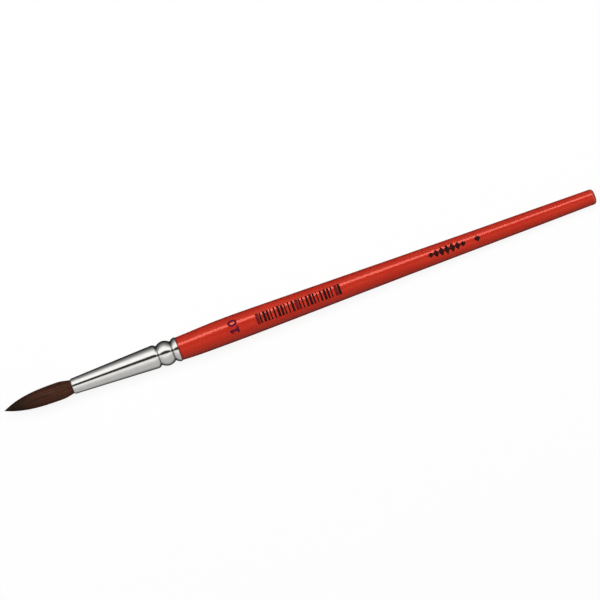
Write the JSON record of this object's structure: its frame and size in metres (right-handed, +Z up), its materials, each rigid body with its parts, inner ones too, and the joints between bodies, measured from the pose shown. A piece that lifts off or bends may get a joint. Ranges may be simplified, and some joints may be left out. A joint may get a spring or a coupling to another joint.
{
  "type": "paint brush",
  "caption": "Round artist's paint brush: pointed brown hair, a tapered nickel ferrule with a crimped bead, and a tapered red lacquered handle.",
  "frame": {"origin": "on the surface the brush lies on, under the middle of its bounding box", "axes": "+X runs along the brush from the hair's point towards the handle's end, +Z is up from the surface"},
  "size_m": [0.2, 0.0084, 0.0087],
  "materials": {
    "hair": "satin",
    "hair_roots": "matte",
    "thread": "matte",
    "cement": "gloss",
    "nickel": "gloss",
    "glue": "gloss",
    "lacquered_wood": "polished",
    "ink_black": "satin",
    "ink_violet": "satin"
  },
  "bodies": {
    "brush_body": {"handle": "lacquered_wood", "handle_glue": "glue", "ferrule": "nickel", "hair_setting_cement": "cement", "binding_thread": "thread", "hair_butts": "hair_roots"},
    "free_hair": {"hair_tuft": "hair"}
  },
  "joints": [
    {"name": "hair_flex", "type": "hinge", "parent": "brush_body", "child": "free_hair", "pos_m": [-0.0769, 0, 0.00503], "axis": [0, 0, 1], "range_deg": [-30, 30], "stiffness_Nm_per_rad": 0.0013}
  ]
}
